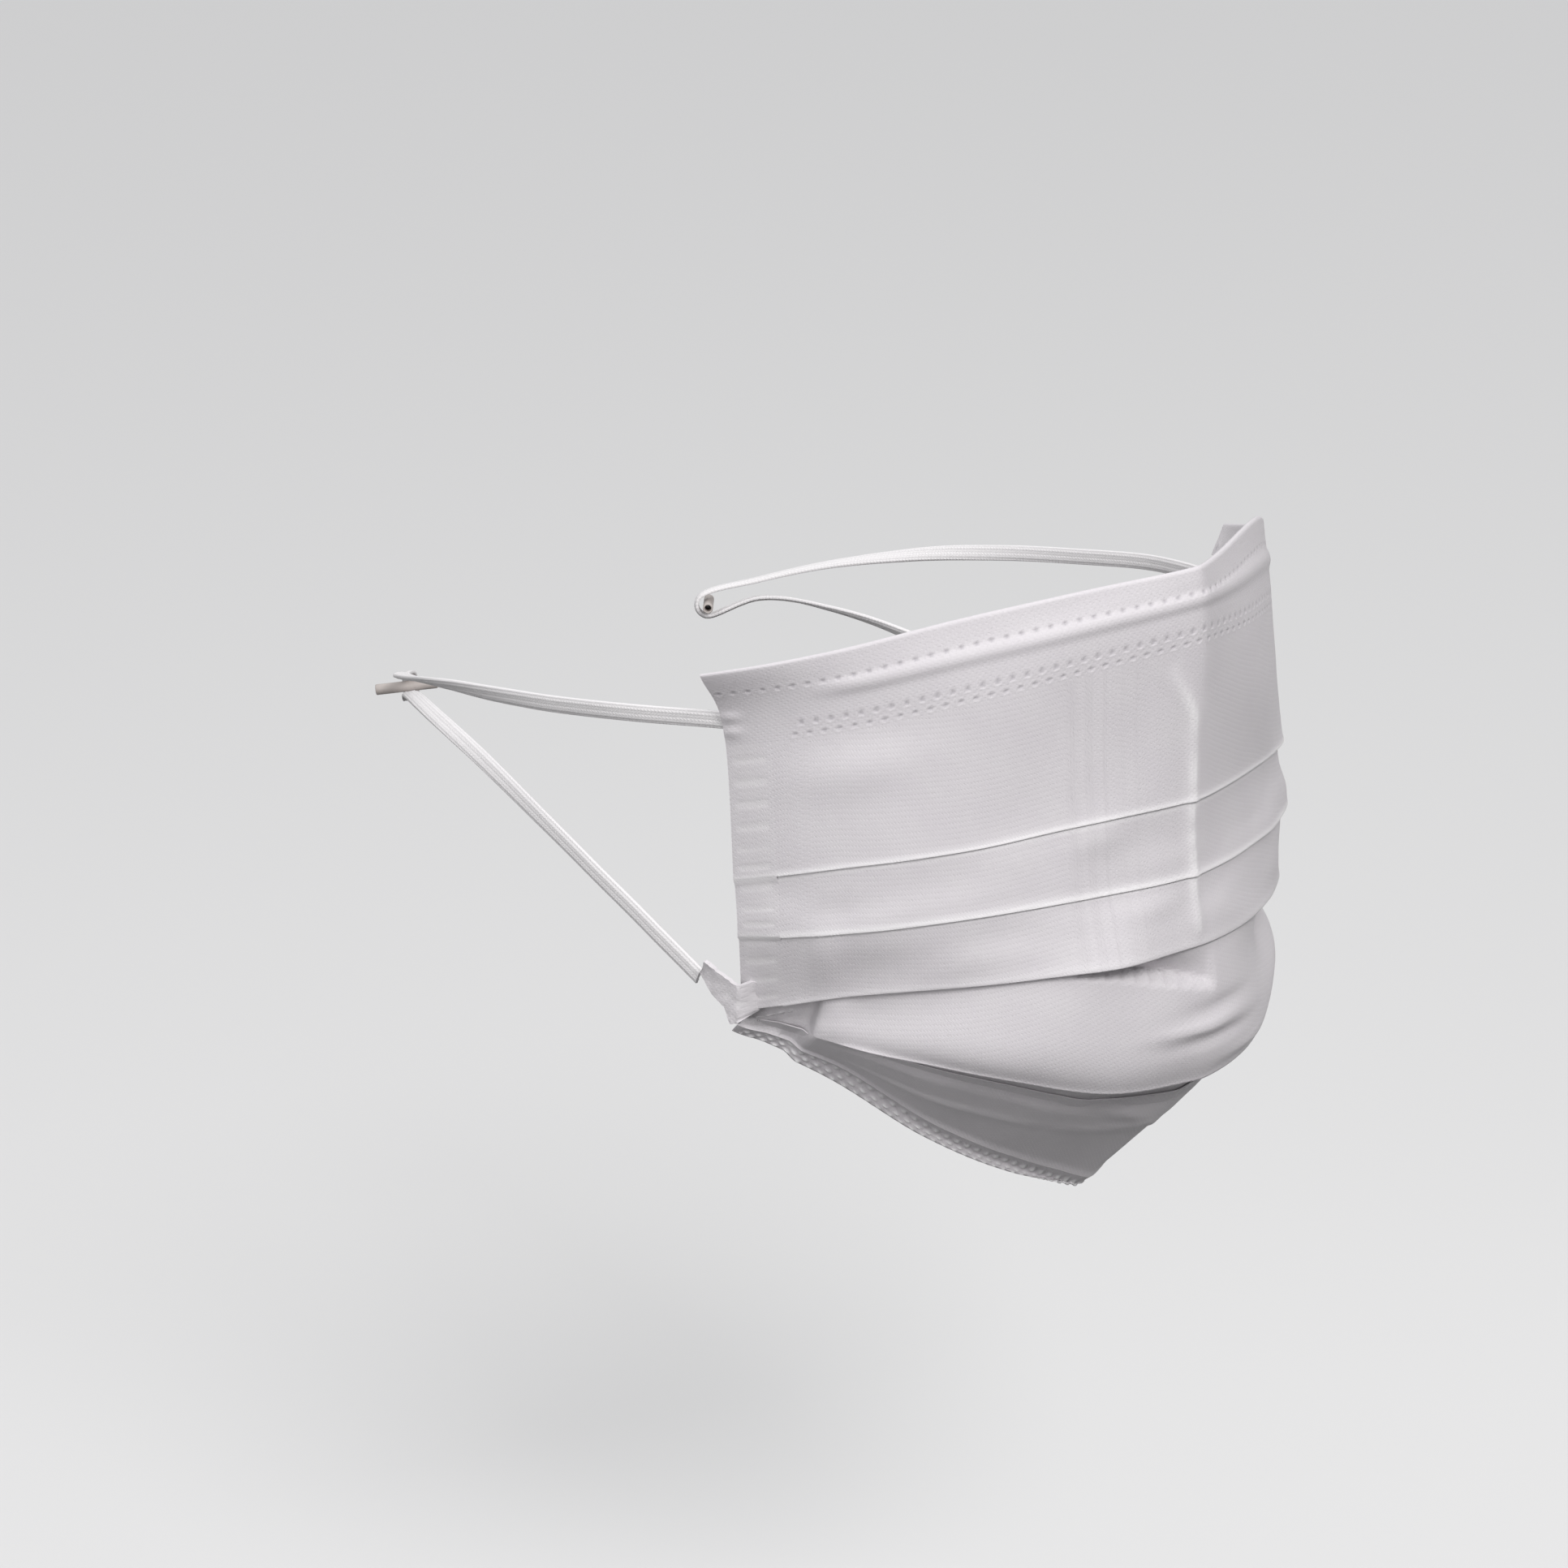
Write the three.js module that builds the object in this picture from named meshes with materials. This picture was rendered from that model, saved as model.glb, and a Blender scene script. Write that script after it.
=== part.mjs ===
// A three-ply surgical face mask in its worn form: a pleated panel that goes over the nose and
// under the chin, with a nose band, a chin hem, two welded side seams and two elastic ear loops.
// Each loop is stretched back to a short pin behind the cheek.
// Millimetres, +Z up. The wearer faces -Y, and the wearer's right is at -X.
// The origin is on the inner face of the nose band, where it sits on the bridge of the nose.

import * as THREE from 'three';

// Wall thicknesses of the stacked plies
const panelThickness = 1.2;
const hemThickness = 1.5;
const seamThickness = 1.3;
const pieceGap = 0.3;

// The side seams take the outer tenth of each half, given as shares of the half width
const seamInnerShare = 0.9;
const pieceGapShare = 0.004;

// Each pleat ends in a lip that stands off the layer under it
const lipStandOff = 1.2;
const chinLipOpening = { across: 0.17, spread: 0.1, standOff: 2.6 };

// Ear loops: a flat elastic 3 mm wide and 0.8 mm thick, made here as a round cord
const loopRadius = 1;
const pinRadius = 1;
const pinLength = 11.5;
const pinInside = 5.2;

// One row for each fold of the sheet, from the top edge to the bottom edge.
// Seen from above, a fold line starts at the median plane and runs back around the face:
//   forward     how far in front of the origin it starts
//   frontAngle  its direction there, in degrees back from straight sideways
//   sideAngle   its direction at the side edge
//   bend        how late the turning comes, 1 for an even curve
//   halfWidth   its length from the median plane to the side edge
// The heights are at the median plane, at each quarter of the half width and at the side edge.
const folds = {
  topEdge: {
    forward: 1.6, frontAngle: 22, sideAngle: 63, bend: 1.8, halfWidth: 85.5,
    heights: [6.4, 4.5, 1.4, -3.6, -8.4],
  },
  bandEdge: {
    forward: 3, frontAngle: 17, sideAngle: 76, bend: 1.6, halfWidth: 84,
    heights: [-4, -6.4, -9.8, -14.6, -19.2],
  },
  firstPleat: {
    forward: 3, frontAngle: 12, sideAngle: 80, bend: 1.5, halfWidth: 83.7,
    heights: [-33.4, -34.2, -36.7, -39.8, -45],
  },
  secondPleat: {
    forward: 3.5, frontAngle: 9, sideAngle: 81, bend: 1.4, halfWidth: 84,
    heights: [-46.5, -46.8, -48.2, -51, -55],
  },
  thirdPleat: {
    forward: 5, frontAngle: 5, sideAngle: 81, bend: 1.05, halfWidth: 84.5,
    heights: [-58.5, -58.6, -60.1, -63.1, -69.4],
  },
  jawCrease: {
    forward: 4.5, frontAngle: 4, sideAngle: 83, bend: 1.05, halfWidth: 84,
    heights: [-83.2, -81.4, -76.1, -72.5, -71],
  },
  hemLine: {
    forward: -19.7, frontAngle: 2, sideAngle: 56, bend: 1.2, halfWidth: 67.5,
    heights: [-108.7, -100.8, -91.2, -79.4, -72.4],
  },
  bottomEdge: {
    forward: -22, frontAngle: 2, sideAngle: 56, bend: 1.2, halfWidth: 67,
    heights: [-111, -104.8, -95.2, -83, -74.4],
  },
};
const foldNames = Object.keys(folds);
const levelOf = Object.fromEntries(foldNames.map((name, level) => [name, level]));

// How far the sheet's outer face turns down at the median plane, at each fold, in degrees.
// It turns less towards the side edges, where the sheet stands upright
const facingDown = {
  topEdge: 0, bandEdge: 0, firstPleat: 0, secondPleat: 0,
  thirdPleat: 0, jawCrease: 25, hemLine: 50, bottomEdge: 50,
};

const foldSteps = 120;

// A fold line's points in plan, evenly spaced from the median plane to the side edge
function planOf({ forward, frontAngle, sideAngle, bend, halfWidth }) {
  const stations = [];
  let x = 0;
  let y = -forward;
  for (let step = 0; step <= foldSteps; step += 1) {
    const angle = THREE.MathUtils.degToRad(
      frontAngle + (sideAngle - frontAngle) * (step / foldSteps) ** bend,
    );
    stations.push({ x, y, angle });
    x += Math.cos(angle) * halfWidth / foldSteps;
    y += Math.sin(angle) * halfWidth / foldSteps;
  }
  return stations;
}

// A fold line as a function of across: -1 at the wearer's right edge, 0 at the nose, 1 at the left
function foldLine(fold) {
  const stations = planOf(fold);
  const rises = fold.heights.map((height, quarter) => new THREE.Vector3(quarter, height, 0));
  const heightCurve = new THREE.CatmullRomCurve3(rises, false, 'catmullrom', 0.5);
  return (across) => {
    const share = Math.min(Math.abs(across), 1);
    const place = share * foldSteps;
    const before = stations[Math.floor(place)];
    const after = stations[Math.min(Math.floor(place) + 1, foldSteps)];
    const mix = place - Math.floor(place);
    const side = Math.sign(across);
    const angle = THREE.MathUtils.lerp(before.angle, after.angle, mix);
    return {
      point: new THREE.Vector3(
        side * THREE.MathUtils.lerp(before.x, after.x, mix),
        THREE.MathUtils.lerp(before.y, after.y, mix),
        heightCurve.getPoint(share).y,
      ),
      outward: new THREE.Vector3(side * Math.sin(angle), -Math.cos(angle), 0),
    };
  };
}

const foldLines = foldNames.map((name) => foldLine(folds[name]));
const jawLevel = levelOf.jawCrease;

// The sheet between the folds is smooth, apart from the sharp crease along the jaw
function sheetFrame(level, across) {
  const lines = foldLines.map((line) => line(across));
  const first = level <= jawLevel ? 0 : jawLevel;
  const last = level <= jawLevel ? jawLevel : foldLines.length - 1;
  const run = lines.slice(first, last + 1);
  const curve = new THREE.CatmullRomCurve3(run.map((line) => line.point), false, 'catmullrom', 0.5);
  const point = curve.getPoint((level - first) / (last - first));
  const below = Math.min(Math.floor(level), foldLines.length - 2);
  const mix = level - below;
  const outward = lines[below].outward.clone().lerp(lines[below + 1].outward, mix).normalize();
  const turn = THREE.MathUtils.degToRad(THREE.MathUtils.lerp(
    facingDown[foldNames[below]], facingDown[foldNames[below + 1]], mix,
  ));
  const turnHere = turn * (1 - across ** 4);
  outward.multiplyScalar(Math.cos(turnHere)).setZ(-Math.sin(turnHere));
  return { point, outward };
}

// A point of the sheet, moved out from its resting face by a stand-off
function sheetPoint(level, across, standOff) {
  const { point, outward } = sheetFrame(level, across);
  return point.addScaledVector(outward, standOff);
}

// A closed wall between an outer and an inner grid of points with the same rows and columns
function closedWall(outerRows, innerRows) {
  const rowCount = outerRows.length;
  const columnCount = outerRows[0].length;
  const points = [...outerRows.flat(), ...innerRows.flat()];
  const outer = (row, column) => row * columnCount + column;
  const inner = (row, column) => (rowCount + row) * columnCount + column;
  const index = [];
  const quad = (a, b, c, d) => index.push(a, b, c, a, c, d);
  for (let row = 0; row < rowCount - 1; row += 1) {
    for (let column = 0; column < columnCount - 1; column += 1) {
      quad(outer(row, column), outer(row + 1, column),
        outer(row + 1, column + 1), outer(row, column + 1));
      quad(inner(row, column), inner(row, column + 1),
        inner(row + 1, column + 1), inner(row + 1, column));
    }
    quad(outer(row, 0), inner(row, 0), inner(row + 1, 0), outer(row + 1, 0));
    quad(outer(row, columnCount - 1), outer(row + 1, columnCount - 1),
      inner(row + 1, columnCount - 1), inner(row, columnCount - 1));
  }
  for (let column = 0; column < columnCount - 1; column += 1) {
    quad(outer(0, column), outer(0, column + 1), inner(0, column + 1), inner(0, column));
    quad(outer(rowCount - 1, column), inner(rowCount - 1, column),
      inner(rowCount - 1, column + 1), outer(rowCount - 1, column + 1));
  }
  const geometry = new THREE.BufferGeometry().setFromPoints(points);
  geometry.setIndex(index);
  geometry.computeVertexNormals();
  return geometry;
}

const spread = (from, to, count) => Array.from(
  { length: count }, (_, place) => THREE.MathUtils.lerp(from, to, place / (count - 1)),
);

// A wall cut out of the sheet. Each row gives its level and how far its outer face stands off
function sheetWall(rows, columns, thickness) {
  const outerRows = rows.map((row) => columns.map(
    (across) => sheetPoint(row.level, across, row.standOff(across)),
  ));
  const innerRows = rows.map((row) => columns.map(
    (across) => sheetPoint(row.level, across, -thickness),
  ));
  return closedWall(outerRows, innerRows);
}

// The third lip stands open on both sides of the median plane and closes at the crease itself
function lipHeight(name) {
  if (name !== 'thirdPleat') return () => lipStandOff;
  const { across: middle, spread: width, standOff } = chinLipOpening;
  return (across) => {
    const away = (Math.abs(across) - middle) / width;
    return lipStandOff * Math.min(1, 0.3 + 4 * Math.abs(across)) + standOff * Math.exp(-away * away);
  };
}

// Rows of the pleated body: each flap leans out to its lip, and the next starts flush behind it
function pleatedRows(pouchSteps, underSteps) {
  const rows = [];
  const flaps = [
    { top: 'bandEdge', lip: 'firstPleat', steps: 5 },
    { top: 'firstPleat', lip: 'secondPleat', steps: 3 },
    { top: 'secondPleat', lip: 'thirdPleat', steps: 3 },
  ];
  for (const { top, lip, steps } of flaps) {
    const height = lipHeight(lip);
    for (const share of spread(0, 1, steps + 1)) {
      rows.push({
        level: THREE.MathUtils.lerp(levelOf[top], levelOf[lip], share),
        standOff: (across) => height(across) * share ** 2,
      });
    }
  }
  for (const share of spread(0, 1, pouchSteps + 1)) {
    rows.push({
      level: THREE.MathUtils.lerp(levelOf.thirdPleat, jawLevel, share),
      standOff: (across) => pouchBulge(across) * 4 * share * (1 - share),
    });
  }
  for (const share of spread(0, 1, underSteps + 1).slice(1)) {
    rows.push({
      level: THREE.MathUtils.lerp(jawLevel, levelOf.hemLine, share),
      standOff: (across) => pouchBulge(across) * 4 * share * (1 - share),
    });
  }
  return rows;
}

// The opened pleat puffs out over the chin and under the jaw, and lies flat near the sides
function pouchBulge(across) {
  const pouchWidth = 0.8;
  const share = Math.min(Math.abs(across) / pouchWidth, 1);
  return 2 * (1 - share ** 4);
}

const fabric = (name, color) => new THREE.MeshStandardMaterial({
  name, color, roughness: 0.7, metalness: 0,
});
const clothMaterial = fabric('nonwoven', 0xdcd8da);
const elasticMaterial = fabric('elastic', 0xe2dfdf);
const pinMaterial = new THREE.MeshStandardMaterial({
  name: 'pin', color: 0xa8a09d, roughness: 0.5, metalness: 0,
});

const mask = new THREE.Group();
mask.name = 'surgical_face_mask';

function addPiece(name, geometry, material) {
  const piece = new THREE.Mesh(geometry, material);
  piece.name = name;
  mask.add(piece);
  return piece;
}

// The body of the mask: three downward pleats, the pouch over the chin and the face under the jaw
function maskPanel() {
  const columns = spread(-seamInnerShare + pieceGapShare, seamInnerShare - pieceGapShare, 45);
  return sheetWall(pleatedRows(5, 4), columns, panelThickness);
}

// The nose band: the outer ply folded over the top edge, raised where the nose strip lies in it
function noseBand() {
  const stripMiddle = 0.68;
  const stripHalfHeight = 0.2;
  const stripRise = 0.7;
  const lowest = levelOf.bandEdge - 0.025;
  const columns = spread(-1, 1, 49);
  const rows = [0, 0.25, 0.48, stripMiddle, 0.86, lowest].map((level) => ({
    level,
    standOff: () => stripRise * Math.max(0, 1 - Math.abs(level - stripMiddle) / stripHalfHeight),
  }));
  return sheetWall(rows, columns, hemThickness);
}

// The chin hem closes the bottom edge under the jaw
function chinHem() {
  const gapLevel = 0.07;
  const columns = spread(-1, 1, 49);
  const rows = spread(levelOf.hemLine + gapLevel, levelOf.bottomEdge, 3)
    .map((level) => ({ level, standOff: () => 0 }));
  return sheetWall(rows, columns, hemThickness);
}

// A side seam: the stacked plies and pleats, welded flat along the edge
function sideSeam(side) {
  const columns = spread(seamInnerShare + pieceGapShare, 1, 3).map((share) => side * share);
  if (side < 0) columns.reverse();
  return sheetWall(pleatedRows(1, 1), columns, seamThickness);
}

// Where the loop passes round its pin, and which way the pin points: back, out and slightly down
const pinPlace = { x: 38.6, y: 156.1, z: -40.3 };
const pinDirection = { x: 0.7, y: 0.7, z: -0.12 };

// The route of one loop, from the upper corner back to the pin, round it and on to the lower
// corner, as a list chosen by hand. x is the distance out from the median plane
const upperStrand = [
  { x: 64.6, y: 51.6, z: -17.4 }, { x: 66, y: 66, z: -19.2 }, { x: 66.4, y: 84, z: -21.7 },
  { x: 64.8, y: 102, z: -24.2 }, { x: 60.6, y: 121, z: -27.4 }, { x: 53.6, y: 138, z: -31.5 },
  { x: 46, y: 149.5, z: -35.3 },
];
const lowerStrand = [
  { x: 45, y: 148, z: -38.6 }, { x: 50.5, y: 134, z: -39 }, { x: 54.8, y: 117, z: -41.9 },
  { x: 58, y: 99, z: -47 }, { x: 60.4, y: 81, z: -53 }, { x: 61.8, y: 67, z: -58.2 },
  { x: 62.4, y: 53.6, z: -64 },
];

const onSide = (side, { x, y, z }) => new THREE.Vector3(side * x, y, z);

// Three points half way round the pin, on the side away from the mask
function bendPoints(side) {
  const axis = onSide(side, pinDirection).normalize();
  const centre = onSide(side, pinPlace);
  const pull = onSide(side, upperStrand.at(-1)).add(onSide(side, lowerStrand[0]))
    .multiplyScalar(0.5).sub(centre);
  pull.addScaledVector(axis, -pull.dot(axis)).normalize();
  const upward = new THREE.Vector3().crossVectors(axis, pull);
  upward.multiplyScalar(Math.sign(upward.z));
  const bendRadius = pinRadius + pieceGap + loopRadius;
  return [60, 0, -60].map((degrees) => {
    const angle = THREE.MathUtils.degToRad(degrees);
    return centre.clone()
      .addScaledVector(pull, -bendRadius * Math.cos(angle))
      .addScaledVector(upward, bendRadius * Math.sin(angle));
  });
}

function loopRoute(side) {
  return [
    ...upperStrand.map((place) => onSide(side, place)),
    ...bendPoints(side),
    ...lowerStrand.map((place) => onSide(side, place)),
  ];
}

function regularSection(radius, sides) {
  const section = new THREE.Shape();
  for (let corner = 0; corner < sides; corner += 1) {
    const angle = 2 * Math.PI * corner / sides;
    const [x, y] = [radius * Math.cos(angle), radius * Math.sin(angle)];
    if (corner === 0) section.moveTo(x, y);
    else section.lineTo(x, y);
  }
  section.closePath();
  return section;
}

function earLoop(side) {
  const route = new THREE.CatmullRomCurve3(loopRoute(side), false, 'centripetal');
  return new THREE.ExtrudeGeometry(regularSection(loopRadius, 8), {
    steps: 78, bevelEnabled: false, extrudePath: route,
  });
}

// The weld of a loop's lower end: a small patch with a torn point, flat against the side seam.
// Its outline lies in the plane of the cheek: along runs backward and up runs upward
const tabOutline = [
  { along: -6.7, up: 4.9 }, { along: -5.5, up: -0.5 }, { along: -4.1, up: -2 },
  { along: -2.5, up: -2.4 }, { along: -1.2, up: 0.5 }, { along: 1.4, up: 2 },
  { along: 3.7, up: 5.3 }, { along: 2.3, up: 7.9 }, { along: 0.3, up: 6.6 }, { along: -3.6, up: 4.8 },
];
const tabPlace = { x: 62.7, y: 48.4, z: -68 };
const tabTurn = 8;

function loopTab() {
  const outline = new THREE.Shape(tabOutline.map(({ along, up }) => new THREE.Vector2(along, up)));
  const plate = new THREE.ExtrudeGeometry(outline, { depth: seamThickness, bevelEnabled: false });
  plate.translate(0, 0, -seamThickness / 2);
  return plate;
}

// Turns a plate from the XY plane to lie along the cheek
function cheekTurn(side) {
  const turn = THREE.MathUtils.degToRad(tabTurn);
  const along = new THREE.Vector3(side * Math.sin(turn), Math.cos(turn), 0);
  const up = new THREE.Vector3(0, 0, 1);
  return new THREE.Matrix4().makeBasis(along, up, along.clone().cross(up));
}

function loopPin() {
  const pin = new THREE.CylinderGeometry(pinRadius, pinRadius, pinLength, 20);
  pin.translate(0, pinLength / 2 - pinInside, 0);
  return pin;
}

addPiece('mask_panel', maskPanel(), clothMaterial);
addPiece('nose_band', noseBand(), clothMaterial);
addPiece('chin_hem', chinHem(), clothMaterial);
for (const { label, side } of [{ label: 'right', side: -1 }, { label: 'left', side: 1 }]) {
  addPiece(`side_seam_${label}`, sideSeam(side), clothMaterial);
  addPiece(`ear_loop_${label}`, earLoop(side), elasticMaterial);
  const tab = addPiece(`loop_tab_${label}`, loopTab(), elasticMaterial);
  tab.position.copy(onSide(side, tabPlace));
  tab.quaternion.setFromRotationMatrix(cheekTurn(side));
  const pin = addPiece(`loop_pin_${label}`, loopPin(), pinMaterial);
  pin.position.copy(onSide(side, pinPlace));
  pin.quaternion.setFromUnitVectors(
    new THREE.Vector3(0, 1, 0), onSide(side, pinDirection).normalize(),
  );
}

export default mask;
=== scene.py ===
import math

import bmesh
import bpy
from mathutils import Matrix, Vector, noise


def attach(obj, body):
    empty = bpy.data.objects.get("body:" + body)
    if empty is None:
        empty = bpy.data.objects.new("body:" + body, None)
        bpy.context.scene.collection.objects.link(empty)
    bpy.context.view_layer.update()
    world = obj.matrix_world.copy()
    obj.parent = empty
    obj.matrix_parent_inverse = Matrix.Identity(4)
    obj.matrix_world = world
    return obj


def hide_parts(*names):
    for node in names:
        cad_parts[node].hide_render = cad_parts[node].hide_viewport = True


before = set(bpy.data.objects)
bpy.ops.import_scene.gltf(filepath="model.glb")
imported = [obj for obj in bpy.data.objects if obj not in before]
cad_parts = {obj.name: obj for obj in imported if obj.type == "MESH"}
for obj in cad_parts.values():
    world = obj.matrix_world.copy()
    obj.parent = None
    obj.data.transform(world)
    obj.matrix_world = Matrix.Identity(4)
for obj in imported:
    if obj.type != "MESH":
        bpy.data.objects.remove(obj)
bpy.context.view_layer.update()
mm = 0.001
sides = {"right": -1, "left": 1}
noise.seed_set(1)  # the roughness of the torn tabs is drawn from it, so that each run is alike


# ---- camera, floor and light

camera = {
    "place": (-0.5607, -0.4687, 0.2110),
    "aim": (0.0074, 0.1035, -0.0579),
    "lens": 104.74,
}


def standAt(thing, place, aim):
    thing.location = place
    look = Vector(aim) - thing.location
    thing.rotation_euler = look.to_track_quat("-Z", "Y").to_euler()
    bpy.context.scene.collection.objects.link(thing)


def makeCamera():
    data = bpy.data.cameras.new("camera")
    data.lens, data.sensor_width = camera["lens"], 36
    data.clip_start, data.clip_end = 0.05, 50
    eye = bpy.data.objects.new("camera", data)
    standAt(eye, camera["place"], camera["aim"])
    bpy.context.scene.camera = eye


studio = {
    "floorHeight": -0.235,
    "floorSize": 14,
    "floorColour": (0.62, 0.62, 0.62, 1),
    "floorRoughness": 0.75,
    "horizon": (0.06, 0.55),  # the heights between which the air turns from low to sky colour
    "skyColour": (1.06, 1.06, 1.07, 1),   # the air above the horizon
    "lowColour": (0.05, 0.05, 0.051, 1),  # and below it, which is all that lights the underside
    "aim": (0, 0.05, -0.05),
    "lamps": {  # place, width, power in watts, colour
        "key": ((-0.38, -1.0, 0.92), 0.5, 11.8, (1.0, 0.99, 0.98)),
        "side": ((-1.3, -0.35, 0.30), 0.5, 5.2, (1.0, 1.0, 1.0)),
    },
}


def makeStudio():
    world = bpy.data.worlds.new("studio air")
    world.use_nodes = True
    tree = world.node_tree
    way = addNode(tree, "ShaderNodeSeparateXYZ", {
        "Vector": addNode(tree, "ShaderNodeTexCoord").outputs["Generated"]})
    low, high = studio["horizon"]
    height = addNode(tree, "ShaderNodeMapRange", {
        "Value": way.outputs["Z"], "From Min": low, "From Max": high})
    air = mixColour(tree, height.outputs[0], studio["lowColour"], studio["skyColour"])
    tree.links.new(air, tree.nodes["Background"].inputs["Color"])
    bpy.context.scene.world = world
    bpy.context.scene.view_settings.view_transform = "Standard"
    for name, (place, width, power, colour) in studio["lamps"].items():
        lamp = bpy.data.lights.new(name, "AREA")
        lamp.size, lamp.energy, lamp.color = width, power, colour
        standAt(bpy.data.objects.new(name, lamp), place, studio["aim"])

    bm = bmesh.new()
    bmesh.ops.create_grid(bm, x_segments=1, y_segments=1, size=studio["floorSize"] / 2)
    bmesh.ops.translate(bm, verts=bm.verts, vec=(0, 0, studio["floorHeight"]))
    floor = newObject("floor", bm)
    floorFinish, shader = newMaterial("pale floor")
    shader.inputs["Base Color"].default_value = studio["floorColour"]
    shader.inputs["Roughness"].default_value = studio["floorRoughness"]
    floor.data.materials.append(floorFinish)
    floor.visible_diffuse = False  # it takes shadows, and throws no light up at the underside


# ---- small helpers

def newObject(name, bm, material=None):
    mesh = bpy.data.meshes.new(name)
    bm.to_mesh(mesh)
    bm.free()
    piece = bpy.data.objects.new(name, mesh)
    bpy.context.scene.collection.objects.link(piece)
    if material:
        mesh.materials.append(material)
    return piece


def smoothStep(low, high, value):
    share = min(max((value - low) / (high - low), 0), 1)
    return share * share * (3 - 2 * share)


def hump(value, middle, width):
    return math.exp(-((value - middle) / width) ** 2)


def spread(start, end, count):
    return [start + (end - start) * place / (count - 1) for place in range(count)]


def arc(*degrees):
    # The sine and cosine of each step round a turn
    return [(math.sin(math.radians(turn)), math.cos(math.radians(turn))) for turn in degrees]


# ---- materials

def newMaterial(name):
    material = bpy.data.materials.new(name)
    material.use_nodes = True
    return material, material.node_tree.nodes["Principled BSDF"]


def addNode(tree, kind, inputs=(), **settings):
    node = tree.nodes.new(kind)
    for setting, value in settings.items():
        setattr(node, setting, value)
    for socket, value in dict(inputs).items():
        if isinstance(value, bpy.types.NodeSocket):
            tree.links.new(value, node.inputs[socket])
        else:
            node.inputs[socket].default_value = value
    return node


def mathNode(tree, operation, *values):
    return addNode(tree, "ShaderNodeMath", dict(enumerate(values)), operation=operation).outputs[0]


def newGroup(name, inputs, outputs):
    group = bpy.data.node_groups.new(name, "ShaderNodeTree")
    for socket, (kind, value) in inputs.items():
        made = group.interface.new_socket(name=socket, in_out="INPUT", socket_type=kind)
        if value is not None:
            made.default_value = value
    for socket in outputs:
        group.interface.new_socket(name=socket, in_out="OUTPUT", socket_type="NodeSocketFloat")
    return group, group.nodes.new("NodeGroupInput"), group.nodes.new("NodeGroupOutput")


def bondedWeb():
    # Spun fibres, the cloudy way that they lie, and the small staggered points that bond them
    group, given, out = newGroup("bonded web", {
        "Vector": ("NodeSocketVector", None),
        "Bond Across": ("NodeSocketFloat", 0.0011),
        "Bond Down": ("NodeSocketFloat", 0.0009),
        "Fibre": ("NodeSocketFloat", 2600.0),
        "Cloud": ("NodeSocketFloat", 130.0),
    }, ["Bonds", "Fibres", "Clouds"])
    parts = addNode(group, "ShaderNodeSeparateXYZ", {"Vector": given.outputs["Vector"]})
    waves = []
    for axis, pitch in (("X", "Bond Across"), ("Y", "Bond Down")):
        turns = mathNode(group, "DIVIDE", parts.outputs[axis], given.outputs[pitch])
        waves.append(mathNode(group, "SINE", mathNode(group, "MULTIPLY", turns, 2 * math.pi)))
    lattice = mathNode(group, "MULTIPLY", *waves)
    bonds = addNode(group, "ShaderNodeMapRange", {
        "Value": lattice, "From Min": 0.25, "From Max": 0.75,
    }, interpolation_type="SMOOTHSTEP")
    strands = []
    for turn, stretch in ((0.35, 5.0), (-0.5, 5.0), (1.5, 4.0)):
        laid = addNode(group, "ShaderNodeMapping", {
            "Vector": given.outputs["Vector"], "Rotation": (0, 0, turn), "Scale": (1, stretch, 1),
        })
        strand = addNode(group, "ShaderNodeTexNoise", {
            "Vector": laid.outputs[0], "Scale": given.outputs["Fibre"], "Detail": 2.0,
            "Roughness": 0.6,
        })
        ridge = mathNode(group, "ABSOLUTE", mathNode(
            group, "SUBTRACT", strand.outputs["Fac"], 0.5))
        strands.append(mathNode(group, "SUBTRACT", 1.0, mathNode(group, "MULTIPLY", ridge, 6.0)))
    fibres = mathNode(group, "MAXIMUM", mathNode(group, "MAXIMUM", *strands[:2]), strands[2])
    cloud = addNode(group, "ShaderNodeTexNoise", {
        "Vector": given.outputs["Vector"], "Scale": given.outputs["Cloud"], "Detail": 4.0,
        "Roughness": 0.55,
    })
    group.links.new(bonds.outputs[0], out.inputs["Bonds"])
    group.links.new(fibres, out.inputs["Fibres"])
    group.links.new(cloud.outputs["Fac"], out.inputs["Clouds"])
    return group


def ribbedKnit():
    # Lengthwise ribs of a flat elastic, with the slanted stitches that run along each one
    group, given, out = newGroup("ribbed knit", {
        "Vector": ("NodeSocketVector", None),
        "Rib": ("NodeSocketFloat", 0.00055),
        "Stitch": ("NodeSocketFloat", 0.0007),
    }, ["Ribs", "Stitches"])
    parts = addNode(group, "ShaderNodeSeparateXYZ", {"Vector": given.outputs["Vector"]})
    across = mathNode(group, "DIVIDE", parts.outputs["Y"], given.outputs["Rib"])
    ribs = mathNode(group, "ABSOLUTE", mathNode(
        group, "SINE", mathNode(group, "MULTIPLY", across, math.pi)))
    along = mathNode(group, "DIVIDE", parts.outputs["X"], given.outputs["Stitch"])
    lean = mathNode(group, "PINGPONG", across, 1.0)
    stitches = mathNode(group, "SINE", mathNode(
        group, "MULTIPLY", mathNode(group, "ADD", along, mathNode(group, "MULTIPLY", lean, 0.6)),
        2 * math.pi))
    group.links.new(ribs, out.inputs["Ribs"])
    group.links.new(mathNode(group, "MULTIPLY", stitches, ribs), out.inputs["Stitches"])
    return group


def bump(tree, height, depth, previous=None):
    node = addNode(tree, "ShaderNodeBump", {"Height": height, "Distance": depth, "Strength": 1.0})
    if previous:
        tree.links.new(previous.outputs[0], node.inputs["Normal"])
    return node


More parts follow.
